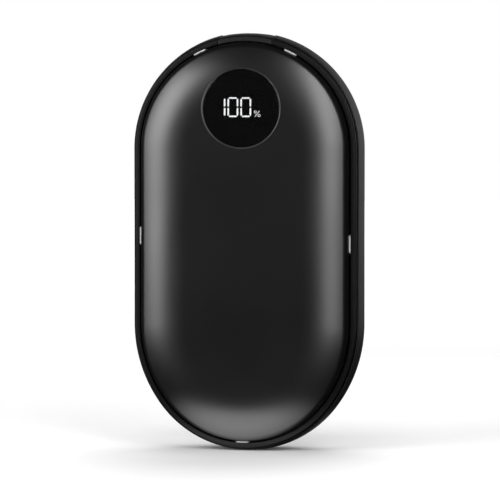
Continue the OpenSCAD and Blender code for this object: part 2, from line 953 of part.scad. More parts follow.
// Nickel links that lie on both terraces and pass over the tray's top edge.
module cell_tabs() {
    leg_y = cell_top - terrace_l + 0.4;
    link_y = tray_top + 0.05;
    outer_z = terrace_z + tab_t;
    color("#c9c9c4")
        for (side = [-1, 1])
            translate([side * tab_x - tab_w / 2, 0, 0]) {
                both_faces() translate([0, leg_y, terrace_z]) cube([tab_w, link_y + tab_t - leg_y, tab_t]);
                translate([0, link_y, -outer_z]) cube([tab_w, tab_t, 2 * outer_z]);
            }
}

protection_l = 30;
protection_w = 2.4;
protection_t = 0.8;
protection_z = terrace_z + tab_t;

module protection_board() {
    fet_l = 3;
    fet_h = 1;
    low = cell_top - protection_w;
    color("#22603a") {
        translate([-protection_l / 2, low, protection_z]) cube([protection_l, protection_w, protection_t]);
        for (x = [-14, 3, 8])
            translate([x, low + 0.4, protection_z + protection_t]) cube([fet_l, protection_w - 0.8, fet_h]);
    }
}

module thermal_fuse() {
    fuse_l = 9;
    fuse_r = 1.1;
    fuse_y = cell_top - fuse_r - 0.2;
    color("#c8a24a")
        translate([-fuse_l / 2, fuse_y, -terrace_z - fuse_r])
            rotate([0, 90, 0])
                cylinder(r = fuse_r, h = fuse_l);
}

// A round lead through a list of points, with a ball at each bend.
module lead(points, r) {
    for (i = [0 : len(points) - 2]) {
        way = points[i + 1] - points[i];
        translate(points[i])
            rotate([0, acos(way.z / norm(way)), atan2(way.y, way.x)])
                cylinder(r = r, h = norm(way));
    }
    for (i = [1 : len(points) - 2])
        translate(points[i]) sphere(r * 1.03);
}

module battery_leads() {
    pad_z = protection_z + protection_t;
    pad_y = cell_top - protection_w / 2;
    land_y = board_y + 2;
    first_x = 1.5 - tab_x;
    for (x = [first_x, first_x + 2])
        color(x == first_x ? "#a3201c" : "#181818")
            lead([
                [x, pad_y, pad_z],
                [x, pad_y, pad_z + 1.6],
                [x, land_y, pad_z + 1.6],
                [x, land_y, board_z]
            ], lead_r);
}

module film_heater() {
    color("#b87333")
        translate([-heater_w / 2, heater_y, panel_in_z - heater_t])
            cube([heater_w, heater_top - heater_y, heater_t]);
}

module front_heater() {
    film_heater();
}

module rear_heater() {
    mirror([0, 0, 1]) film_heater();
}

module insulating_pad() {
    pad_l = cell_top - terrace_l - heater_y - 0.5;
    color("#d9d4c2")
        translate([-heater_w / 2, heater_y, cell_z])
            cube([heater_w, pad_l, panel_in_z - heater_t - cell_z]);
}

module front_pad() {
    insulating_pad();
}

module rear_pad() {
    mirror([0, 0, 1]) insulating_pad();
}

// Two straight leads from each heating film's upper edge to the main board.
module heater_leads() {
    film_z = panel_in_z - heater_t;
    for (x = [tab_x, tab_x + 1.6])
        color("#8c8c88")
            translate([x, heater_top - thin_lead_r, 0]) {
                translate([0, 0, board_z]) cylinder(r = thin_lead_r, h = film_z - board_z);
                translate([0, 0, -film_z]) cylinder(r = thin_lead_r, h = film_z + board_back_z);
            }
}

module heat_sensors() {
    bead = [2, 1.2, 0.8];
    color("#d1b48a") both_faces()
        translate([-tab_x - bead.x / 2, heater_top + 0.6, panel_in_z - bead.z])
            cube(bead);
}

stand() front_panel();
stand() rear_panel();
stand() front_bezel();
stand() rear_bezel();
stand() outer_band();
stand() top_cap();
stand() front_clips();
stand() rear_clips();
stand() front_seal();
stand() rear_seal();
stand() mid_frame();
stand() lens_trim();
stand() display_lens();
stand() display_segments();
stand() display_module();
stand() display_board();
stand() display_header();
stand() display_spacers();
stand() main_board();
stand() board_screws();
stand() charge_coil();
stand() board_chips();
stand() usb_shell();
stand() usb_tongue();
stand() usb_contacts();
stand() power_button();
stand() switch_plunger();
stand() switch_body();
stand() battery_cells();
stand() cell_tabs();
stand() protection_board();
stand() thermal_fuse();
stand() battery_leads();
stand() front_heater();
stand() rear_heater();
stand() front_pad();
stand() rear_pad();
stand() heater_leads();
stand() heat_sensors();
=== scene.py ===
# Rechargeable hand warmer: coated panels on a slim rim, with a lit charge display.
import json
import math

import bmesh
import bpy
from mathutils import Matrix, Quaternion, Vector


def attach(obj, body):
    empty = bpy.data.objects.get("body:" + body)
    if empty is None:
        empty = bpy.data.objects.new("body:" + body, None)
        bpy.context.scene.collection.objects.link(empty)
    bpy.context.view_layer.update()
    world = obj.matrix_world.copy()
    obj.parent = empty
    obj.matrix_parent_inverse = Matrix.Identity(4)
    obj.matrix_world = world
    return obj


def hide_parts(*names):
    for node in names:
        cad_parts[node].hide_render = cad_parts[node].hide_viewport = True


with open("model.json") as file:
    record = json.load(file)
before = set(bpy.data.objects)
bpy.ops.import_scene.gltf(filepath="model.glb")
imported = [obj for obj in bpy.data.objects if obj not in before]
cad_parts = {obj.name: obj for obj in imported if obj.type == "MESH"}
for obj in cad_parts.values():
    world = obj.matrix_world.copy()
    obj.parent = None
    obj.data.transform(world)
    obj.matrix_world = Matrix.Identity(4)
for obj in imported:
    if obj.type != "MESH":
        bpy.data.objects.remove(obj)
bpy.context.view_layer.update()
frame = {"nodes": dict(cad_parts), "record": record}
nodes = frame["nodes"]
mm = 0.001
print("frame loaded:", len(nodes), "nodes")


# camera, at the photograph's angle: a long lens a little to the right and just above level
view = {
    "azimuth": 11.6, "elevation": 3, "distance": 900, "lookX": 0.17, "lookZ": 47.78,
    "pixelsPerMm": 4.168, "pixelsAcross": 500, "sensor": 36, "clip": (0.05, 50),
}


def direction(azimuth, elevation):
    a, e = math.radians(azimuth), math.radians(elevation)
    return Vector((math.sin(a) * math.cos(e), -math.cos(a) * math.cos(e), math.sin(e)))


def makeCamera():
    back = direction(view["azimuth"], view["elevation"])
    data = bpy.data.cameras.new("photoCamera")
    data.sensor_width = view["sensor"]
    data.lens = view["pixelsPerMm"] * view["distance"] * view["sensor"] / view["pixelsAcross"]
    data.clip_start, data.clip_end = view["clip"]
    camera = bpy.data.objects.new("photoCamera", data)
    bpy.context.scene.collection.objects.link(camera)
    camera.location = Vector((view["lookX"], 0, view["lookZ"])) * mm + back * view["distance"] * mm
    camera.rotation_mode = "QUATERNION"
    camera.rotation_quaternion = (-back).to_track_quat("-Z", "Y")
    bpy.context.scene.camera = camera


makeCamera()
print("camera placed")


# the form that every outer piece follows, in millimetres
body = {
    "height": 100, "halfWidth": 27.8, "endStretch": 2.6, "endDraw": 1.3, "footCut": 0.25,
    "domeRise": 4.5, "shoulderWidth": 12, "edgeRadius": 2.2, "panelWall": 1.0,
    "flangeDepth": 5.6, "frameDepth": 2.5, "skirtDepth": 2.7, "skirtCut": 0.15,
    "bandStep": 0.9, "flangeWidth": 1.25, "seamWidth": 0.4, "grooveWidth": 0.2,
}
topZ = body["height"] - body["halfWidth"]
endLength = body["halfWidth"] + body["endStretch"]
lowZ = endLength - body["footCut"]
tipRadius = body["halfWidth"] - body["endDraw"]
tipZ = tipRadius - body["footCut"]
sideRadius = endLength + body["endStretch"] ** 2 / (2 * body["endDraw"])
sideX = sideRadius - body["halfWidth"]
joinAngle = math.atan2(lowZ - tipZ, sideX)
panelOut = -body["bandStep"] - body["flangeWidth"] - body["seamWidth"]
flatEdge = panelOut - body["shoulderWidth"]
turnEdge = panelOut - body["edgeRadius"]
shoulderRadius = (body["shoulderWidth"] ** 2 - 2 * body["shoulderWidth"] * body["edgeRadius"]
                  + body["domeRise"] ** 2) / (2 * (body["domeRise"] - body["edgeRadius"]))
turnAngle = math.atan2(shoulderRadius - body["domeRise"], body["shoulderWidth"] - body["edgeRadius"])
domeTop = body["flangeDepth"] + body["domeRise"]


def outlineAt(x, z):
    # how far a point lies out from the outline, and which way is outwards there
    side = math.copysign(1, x)
    if z >= topZ:
        cx, cz, radius = 0, topZ, body["halfWidth"]
    elif z >= lowZ:
        return abs(x) - body["halfWidth"], side, 0
    elif (z - tipZ) * math.cos(joinAngle) + abs(x) * math.sin(joinAngle) >= 0:
        cx, cz, radius = -side * sideX, lowZ, sideRadius
    else:
        cx, cz, radius = 0, tipZ, tipRadius
    reach = math.hypot(x - cx, z - cz) or 1e-9
    return reach - radius, (x - cx) / reach, (z - cz) / reach


def domeHeight(x, z, depth=0):
    # height of the panel's surface above the middle plane, or of a layer under it
    gap = outlineAt(x, z)[0]
    turnJoin = turnEdge + (body["edgeRadius"] - depth) * math.cos(turnAngle)
    if gap <= flatEdge:
        return domeTop - depth
    if gap <= turnJoin:
        radius = shoulderRadius - depth
        return domeTop - shoulderRadius + math.sqrt(radius ** 2 - (gap - flatEdge) ** 2)
    radius = body["edgeRadius"] - depth
    return body["flangeDepth"] + math.sqrt(max(radius ** 2 - (gap - turnEdge) ** 2, 0))


def domeNormal(x, z):
    gap, ox, oz = outlineAt(x, z)
    turnJoin = turnEdge + body["edgeRadius"] * math.cos(turnAngle)
    if gap <= flatEdge:
        tilt = 0
    elif gap <= turnJoin:
        tilt = (gap - flatEdge) / shoulderRadius
    else:
        tilt = min((gap - turnEdge) / body["edgeRadius"], 1)
    return Vector((tilt * ox, -math.sqrt(1 - tilt * tilt), tilt * oz))


def outlineStations(gapHalf=0, step=0.7, sideSteps=30, lead=0.02):
    # points along the outline with their outward direction, clockwise from the top, or from the gap's square end
    stations = []

    def arc(cx, cz, radius, start, end):
        count = max(2, math.ceil(abs(end - start) * radius / step))
        for i in range(count + 1):
            a = start + (end - start) * i / count
            point = (cx + radius * math.cos(a), cz + radius * math.sin(a), math.cos(a), math.sin(a))
            if not stations or math.hypot(point[0] - stations[-1][0], point[1] - stations[-1][1]) > 1e-6:
                stations.append(point)

    half = body["halfWidth"]
    quarter = math.pi / 2
    start = quarter
    if gapHalf:
        inner = half - body["bandStep"] - body["flangeWidth"]
        lean = (math.sqrt(half ** 2 - gapHalf ** 2) - math.sqrt(inner ** 2 - gapHalf ** 2)) / (half - inner)
        endZ = topZ + math.sqrt(half ** 2 - gapHalf ** 2)
        stations.append((gapHalf, endZ, 0, lean))
        start = math.acos(gapHalf / half) - lead
    arc(0, topZ, half, start, 0)
    for i in range(1, sideSteps + 1):
        stations.append((half, topZ + (lowZ - topZ) * i / sideSteps, 1, 0))
    arc(-sideX, lowZ, sideRadius, 0, -joinAngle)
    arc(0, tipZ, tipRadius, -joinAngle, joinAngle - math.pi)
    arc(sideX, lowZ, sideRadius, joinAngle - math.pi, -math.pi)
    for i in range(1, sideSteps + 1):
        stations.append((-half, lowZ + (topZ - lowZ) * i / sideSteps, -1, 0))
    arc(0, topZ, half, math.pi, math.pi - start)
    if gapHalf:
        stations.append((-gapHalf, endZ, 0, lean))
    else:
        stations[-1] = stations[0]
    return stations


# helpers for meshes
weldDistance = 1e-7  # metres


def link(name, mesh):
    piece = bpy.data.objects.new(name, mesh)
    bpy.context.scene.collection.objects.link(piece)
    return piece


def meshFrom(name, points, faces=()):
    mesh = bpy.data.meshes.new(name)
    mesh.from_pydata([tuple(c * mm for c in p) for p in points], [], faces)
    return mesh


def settle(piece):
    # the evaluated shape as a plain mesh, with nothing live left on the piece
    graph = bpy.context.evaluated_depsgraph_get()
    mesh = bpy.data.meshes.new_from_object(piece.evaluated_get(graph), depsgraph=graph)
    piece.modifiers.clear()
    piece.data = mesh
    return piece


def tidy(piece, fill=True):
    # closes the open ends, points every face outwards
    shape = bmesh.new()
    shape.from_mesh(piece.data)
    bmesh.ops.remove_doubles(shape, verts=shape.verts, dist=weldDistance)
    bmesh.ops.dissolve_degenerate(shape, edges=shape.edges, dist=weldDistance)
    if fill:
        bmesh.ops.holes_fill(shape, edges=[e for e in shape.edges if e.is_boundary], sides=0)
    bmesh.ops.recalc_face_normals(shape, faces=shape.faces)
    shape.to_mesh(piece.data)
    shape.free()


def soften(piece, width, angle=40, segments=2):
    bevel = piece.modifiers.new("edges", "BEVEL")
    bevel.width = width * mm
    bevel.segments = segments
    bevel.limit_method = "ANGLE"
    bevel.angle_limit = math.radians(angle)
    bevel.use_clamp_overlap = True
    bevel.miter_outer = "MITER_ARC"
    return settle(piece)


def shadeSmooth(piece, angle=35):
    piece.data.shade_smooth()
    piece.data.set_sharp_from_angle(angle=math.radians(angle))
    return piece


def cutWith(piece, cutter):
    cut = piece.modifiers.new("cut", "BOOLEAN")
    cut.operation = "DIFFERENCE"
    cut.solver = "EXACT"
    cut.object = cutter
    settle(piece)
    bpy.data.objects.remove(cutter)
    return piece


def dressed(piece, finish):
    piece.data.materials.clear()
    piece.data.materials.append(finish)
    piece.data.polygons.foreach_set("material_index", [0] * len(piece.data.polygons))
    return piece


def flipped(piece, name):
    # the same piece on the rear
    mesh = piece.data.copy()
    shape = bmesh.new()
    shape.from_mesh(mesh)
    for v in shape.verts:
        v.co.y = -v.co.y
    bmesh.ops.reverse_faces(shape, faces=shape.faces)
    shape.to_mesh(mesh)
    shape.free()
    return link(name, mesh)


def arcPoints(cx, cy, radius, start, end, count):
    return [(cx + radius * math.cos(start + (end - start) * i / count),
             cy + radius * math.sin(start + (end - start) * i / count)) for i in range(count + 1)]


def closed(points):
    return points + points[:1]


def pillPoints(length, width, steps=12):
    r = width / 2
    flat = length / 2 - r
    quarter = math.pi / 2
    return arcPoints(flat, 0, r, -quarter, quarter, steps) + arcPoints(-flat, 0, r, quarter, 3 * quarter, steps)


def prism(name, outline, place, near, far):
    # an outline pushed along, where place turns (u, v, depth) into x, y, z
    count = len(outline)
    points = [place(u, v, near) for u, v in outline] + [place(u, v, far) for u, v in outline]
    faces = [tuple(range(count)), tuple(range(2 * count - 1, count - 1, -1))]
    faces += [(i, i + count, (i + 1) % count + count, (i + 1) % count) for i in range(count)]
    piece = link(name, meshFrom(name, points, faces))
    tidy(piece, False)
    return piece


def loft(name, rings, finish, cap=True):
    # rings of equal count joined in turn, the first and last one closed over
    count = len(rings[0])
    points = [p for ring in rings for p in ring]
    faces = []
    for r in range(len(rings) - 1):
        for i in range(count):
            j = (i + 1) % count
            faces.append((r * count + i, r * count + j, (r + 1) * count + j, (r + 1) * count + i))
    if cap:
        faces += [tuple(range(count)), tuple(range((len(rings) - 1) * count, len(rings) * count))]
    piece = link(name, meshFrom(name, points, faces))
    tidy(piece, False)
    return dressed(piece, finish)


def joined(name, parts, finish):
    # several plain meshes as one piece
    shape = bmesh.new()
    for part in parts:
        shape.from_mesh(part.data)
    mesh = bpy.data.meshes.new(name)
    shape.to_mesh(mesh)
    shape.free()
    for part in parts:
        bpy.data.objects.remove(part)
    return dressed(link(name, mesh), finish)


# nodes, for finishes and for shapes
def feed(node, inputs):
    # a socket is linked, anything else is set as the input's value
    for label, source in inputs:
        if isinstance(source, bpy.types.NodeSocket):
            node.id_data.links.new(source, node.inputs[label])
        else:
            node.inputs[label].default_value = source


def addNode(tree, kind, inputs=(), **settings):
    node = tree.nodes.new(kind)
    for key, value in settings.items():
        setattr(node, key, value)
    feed(node, inputs)
    return node


def addMath(tree, operation, *values):
    return addNode(tree, "ShaderNodeMath", enumerate(values), operation=operation).outputs[0]


def addVectorMath(tree, operation, *values, output="Vector"):
    return addNode(tree, "ShaderNodeVectorMath", enumerate(values), operation=operation).outputs[output]


def objectPlace(tree):
    return addNode(tree, "ShaderNodeTexCoord").outputs["Object"]


def addNoise(tree, scale, detail=3, stretch=(1, 1, 1)):
    place = addNode(tree, "ShaderNodeMapping", [("Vector", objectPlace(tree)), ("Scale", stretch)])
    return addNode(tree, "ShaderNodeTexNoise", [
        ("Vector", place.outputs["Vector"]), ("Scale", scale), ("Detail", detail)]).outputs["Fac"]


def addMix(tree, factor, low, high):
    return addNode(tree, "ShaderNodeMix", [
        ("Factor", factor), ("A", (*low, 1)), ("B", (*high, 1))], data_type="RGBA").outputs["Result"]


def addRange(tree, value, low, high, start=0.3, end=0.7, **settings):
    # low at start to high at end, which by default are where most of a noise lies
    return addNode(tree, "ShaderNodeMapRange", [
        ("Value", value), ("From Min", start), ("From Max", end), ("To Min", low), ("To Max", high)],
        **settings).outputs["Result"]


def addBump(tree, height, depth):
    return addNode(tree, "ShaderNodeBump", [
        ("Height", height), ("Strength", 1), ("Distance", depth * mm)]).outputs["Normal"]


# procedural finishes
def newFinish(name):
    finish = bpy.data.materials.new(name)
    finish.use_nodes = True
    return finish, finish.node_tree, finish.node_tree.nodes["Principled BSDF"]


def grainFinish(name, low, high, rough, grain, metallic=0, specular=0.5, mottle=60, stretch=(1, 1, 1), index=1.5):
    # mottled colour, uneven gloss and a fine grain of (grains per metre, depth in millimetres)
    finish, tree, bsdf = newFinish(name)
    clouds = addNoise(tree, mottle)
    grains = addNoise(tree, grain[0], 2, stretch)
    feed(bsdf, [("Base Color", addMix(tree, clouds, low, high)), ("Roughness", addRange(tree, clouds, *rough)),
                ("Metallic", metallic), ("Specular IOR Level", specular), ("IOR", index),
                ("Normal", addBump(tree, grains, grain[1]))])
    return finish


def lensFinish():
    finish, tree, bsdf = newFinish("tintedLens")
    haze = addNoise(tree, 90)
    feed(bsdf, [("Base Color", addMix(tree, haze, (0.048, 0.048, 0.048), (0.056, 0.056, 0.056))),
                ("Roughness", addRange(tree, haze, 0.004, 0.009)), ("IOR", 1.49), ("Transmission Weight", 0.97)])
    return finish


def litFinish():
    finish, tree, bsdf = newFinish("litSegments")
    glow = addMix(tree, addNoise(tree, 900), (0.95, 0.97, 1), (0.99, 0.99, 1))
    feed(bsdf, [("Base Color", glow), ("Emission Color", glow), ("Emission Strength", 20), ("Roughness", 0.4)])
    return finish


def boardFinish():
    # green mask with faint tracks under it
    finish, tree, bsdf = newFinish("circuitBoard")
    place = addNode(tree, "ShaderNodeMapping", [("Vector", objectPlace(tree)), ("Rotation", (math.pi / 2, 0, 0))])
    tracks = addNode(tree, "ShaderNodeTexBrick", [
        ("Vector", place.outputs["Vector"]), ("Scale", 420), ("Mortar Size", 0.06),
        ("Color1", (0.01, 0.09, 0.035, 1)), ("Color2", (0.013, 0.11, 0.04, 1)), ("Mortar", (0.04, 0.2, 0.08, 1))])
    feed(bsdf, [("Base Color", tracks.outputs["Color"]),
                ("Roughness", addRange(tree, addNoise(tree, 300), 0.25, 0.4)),
                ("Normal", addBump(tree, tracks.outputs["Fac"], 0.02))])
    return finish


def wovenFinish():
    finish, tree, bsdf = newFinish("feltedPad")
    threads = addNode(tree, "ShaderNodeTexWave", [
        ("Vector", objectPlace(tree)), ("Scale", 500), ("Distortion", 2)]).outputs["Fac"]
    feed(bsdf, [("Base Color", addMix(tree, threads, (0.5, 0.47, 0.38), (0.66, 0.63, 0.54))),
                ("Roughness", addRange(tree, addNoise(tree, 800), 0.8, 0.95)), ("Sheen Weight", 0.2),
                ("Normal", addBump(tree, threads, 0.05))])
    return finish


def filmFinish():
    # amber film over a printed heating track
    finish, tree, bsdf = newFinish("heatingFilm")
    wave = addNode(tree, "ShaderNodeTexWave", [
        ("Vector", objectPlace(tree)), ("Scale", 160)], bands_direction="Z").outputs["Fac"]
    track = addMath(tree, "GREATER_THAN", wave, 0.55)
    feed(bsdf, [("Base Color", addMix(tree, track, (0.45, 0.2, 0.03), (0.62, 0.33, 0.12))),
                ("Roughness", addRange(tree, addNoise(tree, 200), 0.2, 0.35)),
                ("Normal", addBump(tree, track, 0.02))])
    return finish


finishes = {
    "panel": grainFinish("mattePanelCoat", (0.0026, 0.0026, 0.0027), (0.0038, 0.0038, 0.0039), (0.31, 0.345),
                         (5200, 0.0012), specular=1.0, mottle=45, index=1.8),
    "bezel": grainFinish("satinFlange", (0.003, 0.003, 0.0032), (0.005, 0.005, 0.0052), (0.34, 0.44), (4200, 0.002)),
    "band": grainFinish("satinBand", (0.009, 0.009, 0.0093), (0.013, 0.013, 0.0133), (0.42, 0.5), (3800, 0.003)),
    "cap": grainFinish("satinCap", (0.011, 0.011, 0.0113), (0.015, 0.015, 0.0153), (0.42, 0.5), (3800, 0.003)),
    "button": grainFinish("satinButton", (0.014, 0.014, 0.0145), (0.02, 0.02, 0.0205), (0.34, 0.42), (3800, 0.003)),
    "clip": grainFinish("brightSteel", (0.68, 0.68, 0.67), (0.84, 0.84, 0.82), (0.3, 0.4), (2600, 0.003), 0.3,
                        stretch=(1, 1, 0.15)),
    "trim": grainFinish("brightTrim", (0.38, 0.38, 0.38), (0.46, 0.46, 0.46), (0.36, 0.44), (2600, 0.002), 1),
    "seal": grainFinish("adhesiveFoam", (0.02, 0.02, 0.02), (0.035, 0.035, 0.034), (0.8, 0.95), (2200, 0.03)),
    "frame": grainFinish("mouldedFrame", (0.016, 0.016, 0.0165), (0.024, 0.024, 0.0245), (0.5, 0.62), (2500, 0.006)),
    "module": grainFinish("blackModule", (0.004, 0.004, 0.0042), (0.007, 0.007, 0.0072), (0.3, 0.42), (2600, 0.002)),
    "spacer": grainFinish("naturalNylon", (0.55, 0.52, 0.44), (0.66, 0.63, 0.55), (0.4, 0.55), (1800, 0.006)),
    "screw": grainFinish("platedScrew", (0.48, 0.48, 0.47), (0.62, 0.62, 0.6), (0.25, 0.38), (3000, 0.004), 1),
    "ferrite": grainFinish("ferriteCore", (0.05, 0.045, 0.042), (0.085, 0.078, 0.07), (0.6, 0.75), (2200, 0.02)),
    "chip": grainFinish("mouldedChip", (0.011, 0.011, 0.012), (0.018, 0.018, 0.019), (0.5, 0.65), (4200, 0.006)),
    "shell": grainFinish("nickelShell", (0.46, 0.46, 0.47), (0.6, 0.6, 0.61), (0.2, 0.32), (2400, 0.002), 1,
                         stretch=(1, 1, 0.1)),
    "contact": grainFinish("goldContact", (0.62, 0.42, 0.13), (0.78, 0.55, 0.2), (0.2, 0.3), (3000, 0.002), 1),
    "cell": grainFinish("pouchFoil", (0.42, 0.43, 0.45), (0.58, 0.59, 0.61), (0.3, 0.45), (260, 0.08), 0.85),
    "lead": grainFinish("leadInsulation", (0.25, 0.02, 0.015), (0.34, 0.03, 0.02), (0.4, 0.55), (2600, 0.01)),
    "sensor": grainFinish("epoxyBead", (0.4, 0.27, 0.13), (0.52, 0.36, 0.2), (0.3, 0.5), (1500, 0.02)),
    "circuit": boardFinish(),
    "pad": wovenFinish(),
    "film": filmFinish(),
    "lens": lensFinish(),
    "segments": litFinish(),
}
slotOf = {entry["node"]: entry["material_slot"] for entry in frame["record"]["subparts"]}
for nodeName, cadPiece in nodes.items():
    dressed(cadPiece, finishes[slotOf[nodeName]])
print("finishes made:", len(finishes))


# Geometry Nodes: a section carried along a path, and copies placed at points
def newTree(name, inputs):
    tree = bpy.data.node_groups.new(name, "GeometryNodeTree")
    tree.interface.new_socket("Geometry", in_out="INPUT", socket_type="NodeSocketGeometry")
    for label, kind in inputs:
        tree.interface.new_socket(label, in_out="INPUT", socket_type=kind)
    tree.interface.new_socket("Geometry", in_out="OUTPUT", socket_type="NodeSocketGeometry")
    return tree, tree.nodes.new("NodeGroupInput"), tree.nodes.new("NodeGroupOutput")


def finishTree(tree, given, made, last):
    real = addNode(tree, "GeometryNodeRealizeInstances", [("Geometry", last.outputs[0])])
    painted = addNode(tree, "GeometryNodeSetMaterial", [
        ("Geometry", real.outputs[0]), ("Material", given.outputs["Finish"])])
    tree.links.new(painted.outputs[0], made.inputs[0])


def sweepTree():
    tree, given, made = newTree("sectionAlongPath", (
        ("Path", "NodeSocketObject"), ("Section", "NodeSocketObject"), ("Stations", "NodeSocketInt"),
        ("Section points", "NodeSocketInt"), ("Finish", "NodeSocketMaterial")))
    path = addNode(tree, "GeometryNodeObjectInfo", [("Object", given.outputs["Path"])])
    section = addNode(tree, "GeometryNodeObjectInfo", [("Object", given.outputs["Section"])])
    grid = addNode(tree, "GeometryNodeMeshGrid", [
        ("Vertices X", given.outputs["Stations"]), ("Vertices Y", given.outputs["Section points"])])
    index = addNode(tree, "GeometryNodeInputIndex").outputs[0]
    station = addMath(tree, "FLOOR", addMath(tree, "DIVIDE", index, given.outputs["Section points"]))
    along = addMath(tree, "SUBTRACT", index, addMath(tree, "MULTIPLY", station, given.outputs["Section points"]))
    place = addNode(tree, "GeometryNodeInputPosition").outputs[0]
    outwards = addNode(tree, "GeometryNodeInputNamedAttribute", [("Name", "outwards")], data_type="FLOAT_VECTOR")

    def sample(source, value, at):
        return addNode(tree, "GeometryNodeSampleIndex", [
            ("Geometry", source.outputs["Geometry"]), ("Value", value), ("Index", at)],
            data_type="FLOAT_VECTOR", clamp=True).outputs["Value"]

    pathOut = sample(path, outwards.outputs["Attribute"], station)
    offset = addNode(tree, "ShaderNodeSeparateXYZ", [(0, sample(section, place, along))])
    reach = addNode(tree, "ShaderNodeVectorMath", [(0, pathOut), ("Scale", offset.outputs["X"])], operation="SCALE")
    forward = addNode(tree, "ShaderNodeCombineXYZ", [("Y", offset.outputs["Y"])])
    moved = addVectorMath(tree, "ADD", sample(path, place, station), reach.outputs[0])
    moved = addVectorMath(tree, "ADD", moved, forward.outputs[0])
    shaped = addNode(tree, "GeometryNodeSetPosition", [("Geometry", grid.outputs["Mesh"]), ("Position", moved)])
    merged = addNode(tree, "GeometryNodeMergeByDistance", [
        ("Geometry", shaped.outputs[0]), ("Distance", weldDistance)])
    finishTree(tree, given, made, merged)
    return tree


def copiesTree():
    tree, given, made = newTree("copiesAtPoints", (
        ("Copy", "NodeSocketObject"), ("Finish", "NodeSocketMaterial")))
    copy = addNode(tree, "GeometryNodeObjectInfo", [("Object", given.outputs["Copy"])])
    turn = addNode(tree, "GeometryNodeInputNamedAttribute", [("Name", "turn")], data_type="FLOAT_VECTOR")
    stretch = addNode(tree, "GeometryNodeInputNamedAttribute", [("Name", "stretch")], data_type="FLOAT_VECTOR")
    placed = addNode(tree, "GeometryNodeInstanceOnPoints", [
        ("Points", given.outputs["Geometry"]), ("Instance", copy.outputs["Geometry"]),
        ("Rotation", turn.outputs["Attribute"]), ("Scale", stretch.outputs["Attribute"])])
    finishTree(tree, given, made, placed)
    return tree


def runTree(piece, tree, values):
    modifier = piece.modifiers.new("build", "NODES")
    modifier.node_group = tree
    sockets = {item.name: item.identifier for item in tree.interface.items_tree if item.in_out == "INPUT"}
    for label, value in values.items():
        modifier[sockets[label]] = value
    return settle(piece)


sectionAlongPath = sweepTree()
copiesAtPoints = copiesTree()


def sweep(name, stations, section, finish, fill=True):
    # the section's points are (out from the outline, towards the front)
    path = link("path", meshFrom("path", [(x, 0, z) for x, z, ox, oz in stations]))
    outwards = path.data.attributes.new("outwards", "FLOAT_VECTOR", "POINT")
    outwards.data.foreach_set("vector", [c for x, z, ox, oz in stations for c in (ox, 0, oz)])
    profile = link("section", meshFrom("section", [(q, -h, 0) for q, h in section]))
    piece = link(name, bpy.data.meshes.new(name))
    runTree(piece, sectionAlongPath, {
        "Path": path, "Section": profile, "Stations": len(stations), "Section points": len(section), "Finish": finish})
    for helper in (path, profile):
        bpy.data.objects.remove(helper)
    piece.data.name = name
    tidy(piece, fill)
    return piece


def scatter(name, copy, places, finish):
    # places are (x, y, z, turns, stretches), the turns in radians
    piece = link(name, meshFrom(name, [p[:3] for p in places]))
    for label, column in (("turn", 3), ("stretch", 4)):
        attribute = piece.data.attributes.new(label, "FLOAT_VECTOR", "POINT")
        attribute.data.foreach_set("vector", [c for p in places for c in p[column]])
    runTree(piece, copiesAtPoints, {"Copy": copy, "Finish": finish})
    bpy.data.objects.remove(copy)
    piece.data.name = name
    return dressed(piece, finish)


# panels: domed shells whose shoulder runs into a tight turned edge
window = {"z": 81.9, "radius": 9.65, "steps": 160, "cutLength": 20, "cutMiddle": 13}
panelSteps = {"shoulder": 22, "edge": 14, "innerEdge": 8, "innerShoulder": 12}


def panelShell(name):
    wall, skirt, cut = body["panelWall"], body["skirtDepth"], body["skirtCut"]
    flange, edge = body["flangeDepth"], body["edgeRadius"]
    rise = math.pi / 2
    base = domeTop - shoulderRadius
    section = arcPoints(flatEdge, base, shoulderRadius, rise, turnAngle, panelSteps["shoulder"])
    section += arcPoints(turnEdge, flange, edge, turnAngle, 0, panelSteps["edge"])[1:]
    section += [(panelOut, skirt + cut), (panelOut - cut, skirt), (panelOut - wall, skirt)]
    section += arcPoints(turnEdge, flange, edge - wall, 0, turnAngle, panelSteps["innerEdge"])
    section += arcPoints(flatEdge, base, shoulderRadius - wall, turnAngle, rise, panelSteps["innerShoulder"])[1:]
    return sweep(name, outlineStations(), section, finishes["panel"])


def shadeAsDome(piece, side=1):
    # smooth shading worked out from the dome's own form, so that cuts leave no marks
    leastLikeness = 0.9  # between a face and the dome, as the cosine of the angle between them
    skirtTop = (body["flangeDepth"] - 0.05) * mm
    mesh = piece.data
    mesh.shade_smooth()
    normals = []
    for face in mesh.polygons:
        flat = face.normal
        for loop in face.loop_indices:
            point = mesh.vertices[mesh.loops[loop].vertex_index].co
            smooth = domeNormal(point.x / mm, point.z / mm)
            smooth.y *= side
            along = smooth.dot(flat)
            if abs(along) < leastLikeness or abs(point.y) < skirtTop:
                normals.append(flat.copy())
            else:
                normals.append(smooth if along > 0 else -smooth)
    mesh.normals_split_custom_set(normals)


def windowCutter():
    shape = bmesh.new()
    bmesh.ops.create_cone(shape, cap_ends=True, segments=window["steps"], depth=window["cutLength"] * mm,
                          radius1=window["radius"] * mm, radius2=window["radius"] * mm)
    for v in shape.verts:
        v.co = Vector((v.co.x, -v.co.z - window["cutMiddle"] * mm, v.co.y + window["z"] * mm))
    bmesh.ops.recalc_face_normals(shape, faces=shape.faces)
    cutter = link("cutter", bpy.data.meshes.new("cutter"))
    shape.to_mesh(cutter.data)
    shape.free()
    return cutter


frontPanel = panelShell("frontPanelShell")
rearPanel = flipped(frontPanel, "rearPanelShell")
cutWith(frontPanel, windowCutter())
shadeAsDome(frontPanel)
shadeAsDome(rearPanel, -1)
dressed(frontPanel, finishes["panel"])
dressed(rearPanel, finishes["panel"])
print("panels made")


